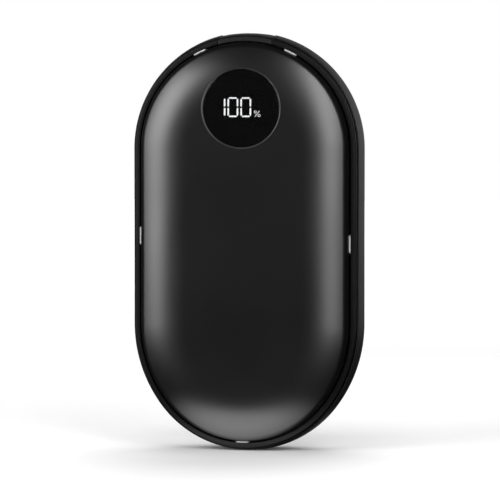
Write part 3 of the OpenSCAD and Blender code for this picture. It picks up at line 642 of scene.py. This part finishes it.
# bezels and band: rings that stop at the cap
rim = {
    "gapHalf": 6.6, "bandWall": 1.55, "crownRadius": 18, "edgeRound": 0.5, "lipHeight": 3.8, "crownSteps": 10,
    "bezelRound": 0.12, "bandRound": 0.08,
    "chamfer": 0.25, "chamferRun": 0.04, "chamferRise": 0.015, "innerCut": 0.05,
}


def bezelSection():
    out = -body["bandStep"]
    inner = out - body["flangeWidth"]
    low, high, cut = body["frameDepth"], body["flangeDepth"], rim["chamfer"]
    run, rise, innerCut = rim["chamferRun"], rim["chamferRise"], rim["innerCut"]
    return closed([(inner, low), (out, low), (out, high - cut - run), (out - rise, high - cut),
                   (out - cut, high - rise), (out - cut - run, high), (inner + innerCut, high),
                   (inner, high - innerCut)])


def crownAt(height, sink=0):
    return math.sqrt(rim["crownRadius"] ** 2 - height ** 2) - rim["crownRadius"] - sink


def lipPoints(sink, lipIn, count=8):
    # the rounded edge from the crown over to the lip's inner side
    reach = rim["crownRadius"] - rim["edgeRound"]
    tilt = math.asin(rim["lipHeight"] / reach)
    q = reach * math.cos(tilt) - rim["crownRadius"] - sink
    end = math.acos(max(min((lipIn - q) / rim["edgeRound"], 1), -1))
    return arcPoints(q, rim["lipHeight"], rim["edgeRound"], tilt, end, count)


def bandSection():
    lipIn = -body["bandStep"] + body["grooveWidth"]
    wallIn = -rim["bandWall"]
    upper = lipPoints(0, lipIn)
    steps = rim["crownSteps"]
    crown = [(crownAt(h), h) for h in [upper[0][1] * i / steps for i in range(1 - steps, steps)]]
    lower = [(q, -h) for q, h in reversed(upper)]
    side = body["frameDepth"]
    return closed(lower + crown + upper + [(lipIn, side), (wallIn, side), (wallIn, -side), (lipIn, -side)])


ringStations = outlineStations(rim["gapHalf"])
frontBezel = sweep("frontBezelRing", ringStations, bezelSection(), finishes["bezel"])
soften(frontBezel, rim["bezelRound"], angle=75, segments=3)
shadeSmooth(frontBezel)
rearBezel = flipped(frontBezel, "rearBezelRing")
sideBand = sweep("sideBand", ringStations, bandSection(), finishes["band"])
for v in sideBand.data.vertices:  # its foot ends at the ground
    v.co.z = max(v.co.z, 0)


button = {
    "z": 65.5, "length": 9.6, "width": 3.6, "fit": 0.1, "cut": (25, 29), "face": 27.65, "root": 24.1, "round": 0.45,
    "rollAngles": (0.4, 0.8, 1.2, math.pi / 2), "dish": ((0.25, 0.02), (0.6, 0.08), (1.0, 0.1)),
    "flangeLength": 12.4, "flangeHeight": 3, "flangeWall": 0.6, "flangeRound": 0.08,
    "pusherLength": 2.4, "pusherHeight": 1, "pusherY": 0.78, "pusherEnd": 23,
}


def acrossButton(u, v, depth):
    return (-depth, v, button["z"] + u)


slot = pillPoints(button["length"] + 2 * button["fit"], button["width"] + 2 * button["fit"])
cutWith(sideBand, prism("cutter", slot, acrossButton, *button["cut"]))
soften(sideBand, rim["bandRound"], angle=60)
shadeSmooth(sideBand, angle=30)
dressed(sideBand, finishes["band"])
dressed(frontBezel, finishes["bezel"])
dressed(rearBezel, finishes["bezel"])
print("rim made")


# top cap, with the charging socket's mouth
cap = {
    "half": 6.48, "sink": 0.2, "back": 0.15, "lipHeights": (3.3, 3.8, 4.05), "lipEdge": 4.15, "lipTop": 4.2,
    "smallCut": 0.03, "edgeCut": 0.08, "round": 0.07, "crownStep": 0.4, "steps": 24, "lead": 0.01,
    "mouthLength": 9.34, "mouthWidth": 3.66, "mouthCut": (90, 105),
}


def capSection():
    wallIn, out = -rim["bandWall"], -body["bandStep"] - cap["sink"]
    inner = -body["bandStep"] - body["flangeWidth"]
    face, side, foot = body["flangeDepth"] - cap["back"], body["frameDepth"], rim["lipHeight"]
    groove = out + body["grooveWidth"]
    lip = [(crownAt(h, cap["sink"]), h) for h in cap["lipHeights"]]
    edge = crownAt(cap["lipEdge"], cap["sink"])
    small, cut, innerCut = cap["smallCut"], cap["edgeCut"], rim["innerCut"]
    lip += [(edge - small, cap["lipEdge"]), (edge - cut, cap["lipTop"])]
    upper = lip + [(groove + small, cap["lipTop"]), (groove, cap["lipTop"] - small), (groove, foot), (out, foot),
                   (out, face - cut), (out - cut, face), (inner + innerCut, face), (inner, face - innerCut),
                   (inner, side), (wallIn, side)]
    lower = [(q, -h) for q, h in reversed(upper)]
    crown = [(crownAt(h, cap["sink"]), h) for h in [cap["crownStep"] * i for i in range(-7, 8)]]
    return closed(lower + crown + upper)


def capStations():
    half = body["halfWidth"]
    count = cap["steps"]
    inner = half - body["bandStep"] - body["flangeWidth"]
    z = [math.sqrt(r ** 2 - cap["half"] ** 2) for r in (half, inner)]
    end = (topZ + z[0], 0, (z[0] - z[1]) / (half - inner))
    first = math.acos(cap["half"] / half) + cap["lead"]
    angles = [first + (math.pi - 2 * first) * i / count for i in range(count + 1)]
    arc = [(half * math.cos(a), topZ + half * math.sin(a), math.cos(a), math.sin(a)) for a in angles]
    return [(cap["half"], *end)] + arc + [(-cap["half"], *end)]


def upSocket(u, v, depth):
    return (u, v, depth)


topCap = sweep("topCapInsert", capStations(), capSection(), finishes["cap"])
cutWith(topCap, prism("cutter", pillPoints(cap["mouthLength"], cap["mouthWidth"]), upSocket, *cap["mouthCut"]))
soften(topCap, cap["round"], angle=50)
shadeSmooth(topCap, angle=30)
dressed(topCap, finishes["cap"])


socket = {"length": 8.94, "width": 3.26, "wall": 0.3, "low": 91.65, "high": 99.0, "lip": 0.08}


def socketShell():
    # an open can whose mouth is rounded over
    def ring(inset, z):
        return [(u, v, z) for u, v in pillPoints(socket["length"] - inset, socket["width"] - inset)]

    wall, lip, low, high = 2 * socket["wall"], socket["lip"], socket["low"], socket["high"]
    rows = [ring(0, low), ring(0, high - lip), ring(lip, high), ring(wall - lip, high), ring(wall, high - lip),
            ring(wall, low + socket["wall"])]
    return loft("socketShell", rows, finishes["shell"])


usbShell = shadeSmooth(socketShell(), angle=40)
print("cap and socket made")


# display: tinted lens, bright trim and lit strokes
lens = {
    "radius": 9.3, "sink": 0.1, "wall": 1.0, "round": 0.12, "roundBend": 0.3,
    "steps": 128, "frontRings": 24, "backRings": 12,
}
trim = {
    "inner": 9.35, "ridge": 9.44, "outer": 9.6, "proud": 0.05, "ridgeFoot": 3, "steps": 8,
    "flange": 10.6, "flangeTop": 7.95, "flangeLow": 7.6,
}


def ringAt(radius, height, depth=None):
    # a ring round the display's axis, at a fixed height or at a depth under the panel's surface
    points = []
    for i in range(lens["steps"]):
        a = 2 * math.pi * i / lens["steps"]
        x, z = radius * math.cos(a), window["z"] + radius * math.sin(a)
        points.append((x, -(height if depth is None else domeHeight(x, z, depth)), z))
    return points


def lensPiece():
    back = lens["sink"] + lens["wall"]
    r, cut = lens["radius"], lens["round"]
    bend = cut * lens["roundBend"]
    front, rear = lens["frontRings"], lens["backRings"]
    rings = [ringAt(r * i / front, 0, lens["sink"]) for i in range(1, front)]
    rings += [ringAt(r - cut, 0, lens["sink"]), ringAt(r - bend, 0, lens["sink"] + bend)]
    rings += [ringAt(r, 0, lens["sink"] + cut), ringAt(r, 0, back)]
    rings += [ringAt(r * i / rear, 0, back) for i in range(rear - 1, 0, -1)]
    return loft("displayLens", rings, finishes["lens"])


def trimPiece():
    # a thin half-round ridge on a tube with a flange under the panel
    inner, outer, proud = trim["ridge"], trim["outer"], -trim["proud"]
    middle, half = (inner + outer) / 2, (outer - inner) / 2
    foot = proud + trim["ridgeFoot"] * half
    rings = [ringAt(middle - half * math.cos(a), 0, proud + half * (1 - math.sin(a)))
             for a in [math.pi * i / trim["steps"] for i in range(trim["steps"] + 1)]]
    rings += [ringAt(outer, trim["flangeTop"]), ringAt(trim["flange"], trim["flangeTop"])]
    rings += [ringAt(trim["flange"], trim["flangeLow"]), ringAt(trim["inner"], trim["flangeLow"])]
    rings += [ringAt(trim["inner"], 0, foot), ringAt(inner, 0, foot)]
    return loft("lensTrimRing", rings + rings[:1], finishes["trim"], False)


displayLens = shadeSmooth(lensPiece(), angle=25)
lensTrim = shadeSmooth(trimPiece(), angle=40)

digits = {
    "height": 4.7, "width": 2.6, "pitch": 3.12, "middle": -2.1, "up": 0.25, "stroke": 0.36, "gap": 0.26,
    "front": 8.9, "wall": 0.15,
}
percent = {  # rings and bar as shares of its height
    "height": 1.6, "x": 3.78, "ringX": 0.29, "ringZ": 0.27, "ringOuter": 0.2, "ringInner": 0.135, "ringSteps": 32,
    "barLean": -38, "barHalfWidth": 0.04, "barHalfLength": 0.54,
}


def litStrokes():
    # pointed strokes, named a to f clockwise from the top, for a one and two noughts
    side = digits["stroke"] / 2
    x = digits["width"] / 2 - side
    z = digits["height"] / 2 - side
    across, upright = 2 * x - digits["gap"], z - digits["gap"]
    spots = {"a": (0, z, 0), "b": (x, z / 2, 1), "c": (x, -z / 2, 1),
             "d": (0, -z, 0), "e": (-x, -z / 2, 1), "f": (-x, z / 2, 1)}
    places = {across: [], upright: []}
    for column, lit in ((-1, "bc"), (0, "abcdef"), (1, "abcdef")):
        for name in lit:
            dx, dz, turned = spots[name]
            length = upright if turned else across
            places[length].append((
                digits["middle"] + column * digits["pitch"] + dx, -digits["front"],
                window["z"] + digits["up"] + dz, (0, math.pi / 2 if turned else 0, 0), (1, 1, 1)))
    parts = []
    for length, spotsHere in places.items():
        half = length / 2
        outline = [(-half, 0), (-half + side, side), (half - side, side),
                   (half, 0), (half - side, -side), (-half + side, -side)]
        copy = prism("stroke", outline, lambda u, v, depth: (u, depth, v), 0, digits["wall"])
        parts.append(scatter("litStrokes", copy, spotsHere, finishes["segments"]))
    return parts


def percentSign():
    size, front, wall = percent["height"], digits["front"], digits["wall"]
    outer, inner, count = percent["ringOuter"], percent["ringInner"], percent["ringSteps"]
    low = window["z"] + digits["up"] - digits["height"] / 2 + size / 2
    parts = []
    for sign in (-1, 1):
        cx, cz = percent["x"] + sign * size * percent["ringX"], low - sign * size * percent["ringZ"]
        rings = []
        for radius, depth in ((outer, 0), (outer, wall), (inner, wall), (inner, 0), (outer, 0)):
            rings.append([(cx + size * radius * math.cos(2 * math.pi * i / count), -front + depth,
                           cz + size * radius * math.sin(2 * math.pi * i / count)) for i in range(count)])
        parts.append(loft("percentRing", rings, finishes["segments"], False))
    lean = math.radians(percent["barLean"])
    c, s = math.cos(lean), math.sin(lean)
    w, h = size * percent["barHalfWidth"], size * percent["barHalfLength"]
    bar = [(c * u - s * v, s * u + c * v) for u, v in ((-w, -h), (w, -h), (w, h), (-w, h))]
    stick = prism("percentBar", bar, lambda u, v, depth: (percent["x"] + u, depth - front, low + v), 0, wall)
    parts.append(dressed(stick, finishes["segments"]))
    return parts


litDigits = joined("litDigits", litStrokes() + percentSign(), finishes["segments"])
print("display made")


# bright clips in the seam
clips = {
    "wall": 0.32, "length": 3.1, "sideLength": 4.2, "top": 5.68, "low": 2.5,
    "shoulder": 0.25, "taper": 0.07, "round": 0.05,
    "across": 11, "bottom": -0.6, "leftZ": 51.275, "rightZ": 49.675,
}


def clipTabs():
    # one tab a millimetre long, stretched to its length at each of its five places
    half, side = 0.5, clips["wall"] / 2
    high = clips["top"] - clips["low"]
    shoulder, narrow = high - clips["shoulder"], half - clips["taper"]
    outline = [(-half, 0), (half, 0), (half, shoulder), (narrow, high), (-narrow, high), (-half, shoulder)]
    copy = prism("clip", outline, lambda u, v, depth: (u, -v, depth), -side, side)
    seam = -body["bandStep"] - body["flangeWidth"] - body["seamWidth"] / 2
    r = body["halfWidth"] + seam
    places = []
    for x in (clips["across"], -clips["across"]):
        places.append((x, -clips["low"], topZ + math.sqrt(r ** 2 - x ** 2), (0, math.asin(x / r), 0),
                       (clips["length"], 1, 1)))
    tip = tipRadius + seam
    places.append((clips["bottom"], -clips["low"], tipZ - math.sqrt(tip ** 2 - clips["bottom"] ** 2),
                   (0, -math.asin(clips["bottom"] / tip), 0), (clips["length"], 1, 1)))
    places.append((r, -clips["low"], clips["rightZ"], (0, math.pi / 2, 0), (clips["sideLength"], 1, 1)))
    places.append((-r, -clips["low"], clips["leftZ"], (0, math.pi / 2, 0), (clips["sideLength"], 1, 1)))
    return scatter("frontClipTabs", copy, places, finishes["clip"])


frontClips = clipTabs()
soften(frontClips, clips["round"], angle=50)
shadeSmooth(frontClips)
rearClips = flipped(frontClips, "rearClipTabs")
print("clips made")


# side button
def buttonPiece():
    # a pill whose rim rolls over into a slightly dished face
    rows = []
    face, r = button["face"], button["round"]
    steps = [(0, button["root"]), (0, face - r)]
    steps += [(r * (1 - math.cos(a)), face - r + r * math.sin(a)) for a in button["rollAngles"]]
    steps += [(r + inset, face - drop) for inset, drop in button["dish"]]
    for inset, depth in steps:
        rows.append([acrossButton(u, v, depth)
                     for u, v in pillPoints(button["length"] - 2 * inset, button["width"] - 2 * inset)])
    face = shadeSmooth(loft("buttonFace", rows, finishes["button"]), angle=50)
    box = [(-1, -1), (1, -1), (1, 1), (-1, 1)]
    half, high = button["flangeLength"] / 2, button["flangeHeight"] / 2
    flange = prism("buttonFlange", [(u * half, v * high) for u, v in box], acrossButton,
                   button["root"] - button["flangeWall"], button["root"])
    half, high = button["pusherLength"] / 2, button["pusherHeight"] / 2
    pusher = prism("buttonPusher", [(u * half, v * high + button["pusherY"]) for u, v in box], acrossButton,
                   button["pusherEnd"], button["root"] - button["flangeWall"])
    for part in (flange, pusher):
        soften(part, button["flangeRound"])
    piece = joined("powerButtonCap", [face, flange, pusher], finishes["button"])
    return shadeSmooth(piece, angle=40)


powerButton = buttonPiece()
print("button made")


# what rides where
riding = [
    (frontPanel, "root", "panel", ["front_panel"]), (rearPanel, "root", "panel", ["rear_panel"]),
    (frontBezel, "root", "bezel", ["front_bezel"]), (rearBezel, "root", "bezel", ["rear_bezel"]),
    (sideBand, "root", "band", ["outer_band"]), (topCap, "root", "cap", ["top_cap"]),
    (usbShell, "root", "shell", ["usb_shell"]), (displayLens, "root", "lens", ["display_lens"]),
    (lensTrim, "root", "trim", ["lens_trim"]), (litDigits, "root", "segments", ["display_segments"]),
    (frontClips, "root", "clip", ["front_clips"]), (rearClips, "root", "clip", ["rear_clips"]),
    (powerButton, "button", "button", ["power_button"]),
]
for piece, bodyName, slotName, replaced in riding:
    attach(piece, bodyName)
    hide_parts(*replaced)
print("pieces riding:", len(riding))


# studio: white floor and backdrop, soft boxes, and a dark hood that only reflections see, a painted dark reflection
# with painted grey and glowing patches
studio = {
    "aim": (0, 0, 50),
    "softBoxes": [  # name, azimuth, elevation, distance, width, height, turn, brightness, seen in reflections
        ("leftStrip", -49, 14.6, 480, 186, 372, -14, 3.05, True),
        ("rightStrip", 32.5, 20.5, 480, 153, 466, -3.5, 2.75, True),
        ("leftFill", -42, 33, 620, 380, 380, 0, 2.8, False),
        ("rightFill", 42, 33, 620, 380, 380, 0, 2.8, False),
        ("rearLeftStrip", -135, 12, 480, 90, 360, 0, 1.6, True),
        ("rearRightStrip", 135, 12, 480, 90, 360, 0, 1.6, True),
        ("topBox", 180, 62, 700, 700, 700, 0, 2.0, False),
    ],
    "worldLight": 0.22,
    "floorHalf": 1500,
    # near, far, inner and outer are in metres from the foot, the rest is light added, or light taken away as a painted
    # shadow round the foot
    "floorLift": {"near": 0.3, "far": 1.0, "low": 0.21, "high": 1.0},
    # painted shadow round the foot: floor emission taken away in a squeezed patch
    "paintedFootShadow": {"inner": 0.008, "outer": 0.046, "depth": 0.18, "squeeze": (1, 0.42, 1)},
    # the hood, seen only in reflections, is a painted dark reflection; the grey patch at its back is a painted grey
    # reflection
    "hoodRadius": 620, "hoodFaces": (72, 20), "hoodFoot": -6, "hoodSpan": 96, "coverHeight": 0.3,
    "paintedGreyReflection": (142, 222), "greyReflectionTop": 35,
    # painted reflection: a soft glowing patch beside the foot, seen only in reflections
    "paintedFloorReflection": {"middle": (-3.5, 18), "radii": (21, 10.5), "soft": (0.4, 1.6), "brightness": 1.2},
}


def softBox(name, azimuth, elevation, distance, width, height, turn, brightness, reflected):
    back = direction(azimuth, elevation)
    data = bpy.data.lights.new(name, "AREA")
    data.shape = "RECTANGLE"
    data.size, data.size_y = width * mm, height * mm
    data.energy = brightness * math.pi * data.size * data.size_y
    lamp = bpy.data.objects.new(name, data)
    bpy.context.scene.collection.objects.link(lamp)
    lamp.location = Vector(studio["aim"]) * mm + back * distance * mm
    lamp.rotation_mode = "QUATERNION"
    lamp.rotation_quaternion = back.to_track_quat("Z", "Y") @ Quaternion((0, 0, 1), math.radians(turn))
    lamp.visible_camera = False
    lamp.visible_glossy = reflected


for box in studio["softBoxes"]:
    softBox(*box)


def backgroundRays(tree):
    # 1 for what looks straight at the background, in a mirror or through glass
    rays = addNode(tree, "ShaderNodeLightPath")
    seen = rays.outputs["Is Camera Ray"]
    for label in ("Is Glossy Ray", "Is Transmission Ray"):
        seen = addMath(tree, "MAXIMUM", seen, rays.outputs[label])
    return seen


def makeWorld():
    world = bpy.data.worlds.new("studio")
    bpy.context.scene.world = world
    world.use_nodes = True
    tree = world.node_tree
    strength = addRange(tree, backgroundRays(tree), studio["worldLight"], 1, 0, 1)
    feed(tree.nodes["Background"], [("Strength", strength), ("Color", (1, 1, 1, 1))])


def squareAt(half, z):
    return [(-half, -half, z), (half, -half, z), (half, half, z), (-half, half, z)]


def makeFloor():
    # white paper, lifted to pure white for the camera, less so round the foot, where it keeps the shadow, and darkened
    # there further by a painted shadow
    piece = link("floorSheet", meshFrom("floorSheet", squareAt(studio["floorHalf"], 0), [(0, 1, 2, 3)]))
    finish, tree, bsdf = newFinish("whitePaper")
    away = addVectorMath(tree, "LENGTH", objectPlace(tree), output="Value")
    lift, paintedShadow = studio["floorLift"], studio["paintedFootShadow"]
    grown = addRange(tree, away, lift["low"], lift["high"], lift["near"], lift["far"])
    # painted shadow: less emission in a patch round the foot, drawn out front to back
    squeezed = addVectorMath(tree, "MULTIPLY", objectPlace(tree), paintedShadow["squeeze"])
    beside = addVectorMath(tree, "LENGTH", squeezed, output="Value")
    paintedShadowDip = addRange(tree, beside, paintedShadow["depth"], 0, paintedShadow["inner"], paintedShadow["outer"], interpolation_type="SMOOTHSTEP")
    liftLessPaintedShadow = addMath(tree, "SUBTRACT", grown, paintedShadowDip)
    feed(bsdf, [("Base Color", addMix(tree, addNoise(tree, 40), (0.8, 0.8, 0.8), (0.81, 0.81, 0.81))),
                ("Roughness", 0.9), ("Specular IOR Level", 0.1), ("Emission Color", (1, 1, 1, 1)),
                ("Emission Strength", addMath(tree, "MULTIPLY", backgroundRays(tree), liftLessPaintedShadow))])
    dressed(piece, finish)


def paintedReflectionFinish():
    # black but for a soft glowing patch in front of and behind the foot, seen only in reflections: a painted
    # reflection of a lit floor
    glow = studio["paintedFloorReflection"]
    finish, tree, bsdf = newFinish("paintedFloorReflection")
    spot = addNode(tree, "ShaderNodeSeparateXYZ", [(0, objectPlace(tree))]).outputs
    offsets = []
    for value, middle, size in zip((spot["X"], addMath(tree, "ABSOLUTE", spot["Y"])), glow["middle"], glow["radii"]):
        offsets.append(addMath(tree, "DIVIDE", addMath(tree, "SUBTRACT", value, middle * mm), size * mm))
    both = addNode(tree, "ShaderNodeCombineXYZ", [("X", offsets[0]), ("Y", offsets[1])])
    reach = addVectorMath(tree, "LENGTH", both.outputs[0], output="Value")
    fade = addRange(tree, reach, 1, 0, *glow["soft"], interpolation_type="SMOOTHSTEP")
    feed(bsdf, [("Base Color", (0, 0, 0, 1)), ("Specular IOR Level", 0), ("Emission Strength", glow["brightness"]),
                ("Emission Color", addMix(tree, fade, (0, 0, 0), (1, 1, 1)))])
    return finish


def makeHood():
    # a dark shell all round and above and a sheet over the floor, seen only in reflections: a painted dark reflection,
    # with a painted grey reflection at the back and a painted glowing floor reflection only beside the foot
    radius, aim = studio["hoodRadius"], Vector(studio["aim"])
    points, faces, slots = [], [], []
    across, up = studio["hoodFaces"]
    foot, span = studio["hoodFoot"], studio["hoodSpan"]
    low, high = studio["paintedGreyReflection"]
    for j in range(up + 1):
        for i in range(across + 1):
            points.append(aim + direction(360 * i / across, foot + span * j / up) * radius)
    for j in range(up):
        for i in range(across):
            azimuth, elevation = 360 * (i + 0.5) / across, foot + span * (j + 0.5) / up
            slots.append(int(low < azimuth < high and elevation < studio["greyReflectionTop"]))
            a = j * (across + 1) + i
            faces.append((a, a + 1, a + across + 2, a + across + 1))
    start = len(points)  # the sheet over the floor, seen only in reflections: a painted dark reflection of the floor
    points += squareAt(radius, studio["coverHeight"])
    faces.append((start, start + 1, start + 2, start + 3))
    slots.append(2)
    piece = link("darkHood", meshFrom("darkHood", points, faces))
    dressed(piece, grainFinish("paintedDarkReflection", (0.002, 0.002, 0.002), (0.004, 0.004, 0.004), (0.9, 1), (60, 0.1),
                               specular=0))
    # painted grey reflection: a glowing grey patch at the back of the hood, seen only in reflections
    greyReflection, tree, bsdf = newFinish("paintedGreyReflection")
    feed(bsdf, [("Base Color", (0, 0, 0, 1)), ("Specular IOR Level", 0), ("Emission Strength", 1),
                ("Emission Color", addMix(tree, addNoise(tree, 4), (0.34, 0.34, 0.34), (0.4, 0.4, 0.4)))])
    piece.data.materials.append(greyReflection)
    # painted reflection: the glowing patch beside the foot, on the sheet over the floor
    piece.data.materials.append(paintedReflectionFinish())
    piece.data.polygons.foreach_set("material_index", slots)
    for rays in ("visible_camera", "visible_diffuse", "visible_shadow", "visible_transmission"):
        setattr(piece, rays, False)


makeWorld()
makeFloor()
makeHood()
bpy.context.scene.view_settings.view_transform = "Standard"
print("studio set")
